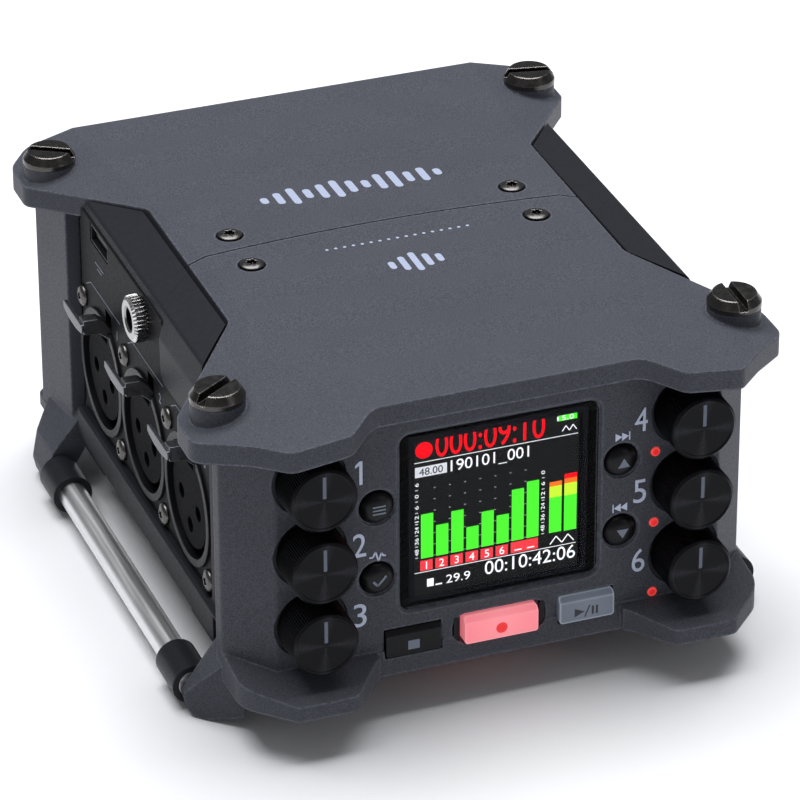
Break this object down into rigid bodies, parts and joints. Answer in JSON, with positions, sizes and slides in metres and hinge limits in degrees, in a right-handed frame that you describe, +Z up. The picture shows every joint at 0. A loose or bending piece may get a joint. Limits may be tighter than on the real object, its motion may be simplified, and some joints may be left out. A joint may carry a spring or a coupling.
{
  "type": "portable field recorder",
  "caption": "Pocket-size multitrack audio field recorder with locking microphone sockets, track knobs, a square screen and side strap bars",
  "frame": {"origin": "centre of the bounding box's base, on the floor under the feet", "axes": "front faces -Y, +X is the user's right, +Z up"},
  "size_m": [0.0996, 0.1198, 0.0592],
  "materials": {
    "casting_paint": "fine metallic charcoal paint, satin",
    "cover_plastic": "black, fine texture",
    "input_panel": "black paint, satin",
    "base_paint": "charcoal paint, satin",
    "gunmetal": "turned, dark nickel",
    "screw_steel": "nickel plated",
    "bar_steel": "drawn bar",
    "collar_rubber": "smooth black",
    "knob_metal": "black anodised, knurled",
    "pot_case": "moulded",
    "button_rubber": "black, satin",
    "record_glow": "lit from behind",
    "play_lens": "smoked blue-grey",
    "led_lens": "small red lens",
    "screen_glass": "clear, flush",
    "screen_module": "colour display",
    "circuit_board": "solder mask",
    "insert_plastic": "moulded",
    "contact_gold": "gold plated",
    "socket_metal": "black zinc casting",
    "latch_steel": "pressed sheet",
    "jack_plastic": "moulded",
    "nut_nickel": "knurled ring",
    "switch_plastic": "moulded",
    "tray_plastic": "moulded",
    "cell_wrap": "plain sleeve",
    "bush_brass": "turned"
  },
  "bodies": {
    "chassis": {"front_panel": "casting_paint", "rear_panel": "casting_paint", "left_side_cover": "cover_plastic", "right_side_cover": "cover_plastic", "left_input_panel": "input_panel", "right_input_panel": "input_panel", "base_plate": "base_paint", "corner_screws": "gunmetal", "seam_screws": "screw_steel", "input_screws": "screw_steel", "base_screws": "screw_steel", "left_strap_bar": "bar_steel", "right_strap_bar": "bar_steel", "bar_collars": "collar_rubber", "knob_pots": "pot_case", "button_switches": "pot_case", "track_lights": "led_lens", "screen_glass": "screen_glass", "screen_module": "screen_module", "front_board": "circuit_board", "main_board": "circuit_board", "socket_inserts": "insert_plastic", "socket_contacts": "contact_gold", "timecode_jack": "jack_plastic", "output_jacks": "jack_plastic", "jack_nuts": "nut_nickel", "data_port": "gunmetal", "tripod_bush": "bush_brass", "input_1_socket": "socket_metal", "input_2_socket": "socket_metal", "input_3_socket": "socket_metal", "input_4_socket": "socket_metal", "input_5_socket": "socket_metal", "input_6_socket": "socket_metal"},
    "knob_1": {"knob_1": "knob_metal"},
    "knob_2": {"knob_2": "knob_metal"},
    "knob_3": {"knob_3": "knob_metal"},
    "knob_4": {"knob_4": "knob_metal"},
    "knob_5": {"knob_5": "knob_metal"},
    "knob_6": {"knob_6": "knob_metal"},
    "latch_1": {"input_1_latch": "latch_steel"},
    "latch_2": {"input_2_latch": "latch_steel"},
    "latch_3": {"input_3_latch": "latch_steel"},
    "latch_4": {"input_4_latch": "latch_steel"},
    "latch_5": {"input_5_latch": "latch_steel"},
    "latch_6": {"input_6_latch": "latch_steel"},
    "menu_button": {"menu_button": "button_rubber"},
    "enter_button": {"enter_button": "button_rubber"},
    "forward_button": {"forward_button": "button_rubber"},
    "back_button": {"back_button": "button_rubber"},
    "stop_button": {"stop_button": "button_rubber"},
    "record_button": {"record_button": "record_glow"},
    "play_button": {"play_button": "play_lens"},
    "volume_dial": {"volume_dial": "knob_metal"},
    "power_switch": {"power_switch": "switch_plastic"},
    "card_door": {"card_door": "switch_plastic"},
    "battery_tray": {"battery_tray": "tray_plastic", "battery_cells": "cell_wrap"}
  },
  "joints": [
    {"name": "knob_1_turn", "type": "hinge", "parent": "chassis", "child": "knob_1", "pos_m": [-0.0312, -0.052, 0.04504], "axis": [0, 1, 0], "range_deg": [-150, 150]},
    {"name": "knob_2_turn", "type": "hinge", "parent": "chassis", "child": "knob_2", "pos_m": [-0.0312, -0.052, 0.03227], "axis": [0, 1, 0], "range_deg": [-150, 150]},
    {"name": "knob_3_turn", "type": "hinge", "parent": "chassis", "child": "knob_3", "pos_m": [-0.0312, -0.052, 0.0195], "axis": [0, 1, 0], "range_deg": [-150, 150]},
    {"name": "knob_4_turn", "type": "hinge", "parent": "chassis", "child": "knob_4", "pos_m": [0.0312, -0.052, 0.04504], "axis": [0, 1, 0], "range_deg": [-150, 150]},
    {"name": "knob_5_turn", "type": "hinge", "parent": "chassis", "child": "knob_5", "pos_m": [0.0312, -0.052, 0.03227], "axis": [0, 1, 0], "range_deg": [-150, 150]},
    {"name": "knob_6_turn", "type": "hinge", "parent": "chassis", "child": "knob_6", "pos_m": [0.0312, -0.052, 0.0195], "axis": [0, 1, 0], "range_deg": [-150, 150]},
    {"name": "menu_button_press", "type": "slide", "parent": "chassis", "child": "menu_button", "axis": [0, 1, 0], "range_m": [0, 0.001], "stiffness_N_per_m": 400, "springref_m": -0.001},
    {"name": "enter_button_press", "type": "slide", "parent": "chassis", "child": "enter_button", "axis": [0, 1, 0], "range_m": [0, 0.001], "stiffness_N_per_m": 400, "springref_m": -0.001},
    {"name": "forward_button_press", "type": "slide", "parent": "chassis", "child": "forward_button", "axis": [0, 1, 0], "range_m": [0, 0.001], "stiffness_N_per_m": 400, "springref_m": -0.001},
    {"name": "back_button_press", "type": "slide", "parent": "chassis", "child": "back_button", "axis": [0, 1, 0], "range_m": [0, 0.001], "stiffness_N_per_m": 400, "springref_m": -0.001},
    {"name": "stop_button_press", "type": "slide", "parent": "chassis", "child": "stop_button", "axis": [0, 1, 0], "range_m": [0, 0.001], "stiffness_N_per_m": 400, "springref_m": -0.001},
    {"name": "record_button_press", "type": "slide", "parent": "chassis", "child": "record_button", "axis": [0, 1, 0], "range_m": [0, 0.001], "stiffness_N_per_m": 400, "springref_m": -0.001},
    {"name": "play_button_press", "type": "slide", "parent": "chassis", "child": "play_button", "axis": [0, 1, 0], "range_m": [0, 0.001], "stiffness_N_per_m": 400, "springref_m": -0.001},
    {"name": "latch_1_press", "type": "slide", "parent": "chassis", "child": "latch_1", "axis": [1, 0, 0], "range_m": [0, 0.0015], "stiffness_N_per_m": 500, "springref_m": -0.001},
    {"name": "latch_2_press", "type": "slide", "parent": "chassis", "child": "latch_2", "axis": [1, 0, 0], "range_m": [0, 0.0015], "stiffness_N_per_m": 500, "springref_m": -0.001},
    {"name": "latch_3_press", "type": "slide", "parent": "chassis", "child": "latch_3", "axis": [1, 0, 0], "range_m": [0, 0.0015], "stiffness_N_per_m": 500, "springref_m": -0.001},
    {"name": "latch_4_press", "type": "slide", "parent": "chassis", "child": "latch_4", "axis": [-1, 0, 0], "range_m": [0, 0.0015], "stiffness_N_per_m": 500, "springref_m": -0.001},
    {"name": "latch_5_press", "type": "slide", "parent": "chassis", "child": "latch_5", "axis": [-1, 0, 0], "range_m": [0, 0.0015], "stiffness_N_per_m": 500, "springref_m": -0.001},
    {"name": "latch_6_press", "type": "slide", "parent": "chassis", "child": "latch_6", "axis": [-1, 0, 0], "range_m": [0, 0.0015], "stiffness_N_per_m": 500, "springref_m": -0.001},
    {"name": "volume_turn", "type": "hinge", "parent": "chassis", "child": "volume_dial", "pos_m": [0.0366, 0.0218, 0.0488], "axis": [0, 0, 1], "range_deg": [-150, 150]},
    {"name": "power_slide", "type": "slide", "parent": "chassis", "child": "power_switch", "axis": [0, 1, 0], "range_m": [0, 0.0035]},
    {"name": "card_door_swing", "type": "hinge", "parent": "chassis", "child": "card_door", "pos_m": [0.031, 0.054, 0.0398], "axis": [-1, 0, 0], "range_deg": [0, 100]},
    {"name": "battery_slide", "type": "slide", "parent": "chassis", "child": "battery_tray", "axis": [0, 1, 0], "range_m": [0, 0.055]}
  ]
}
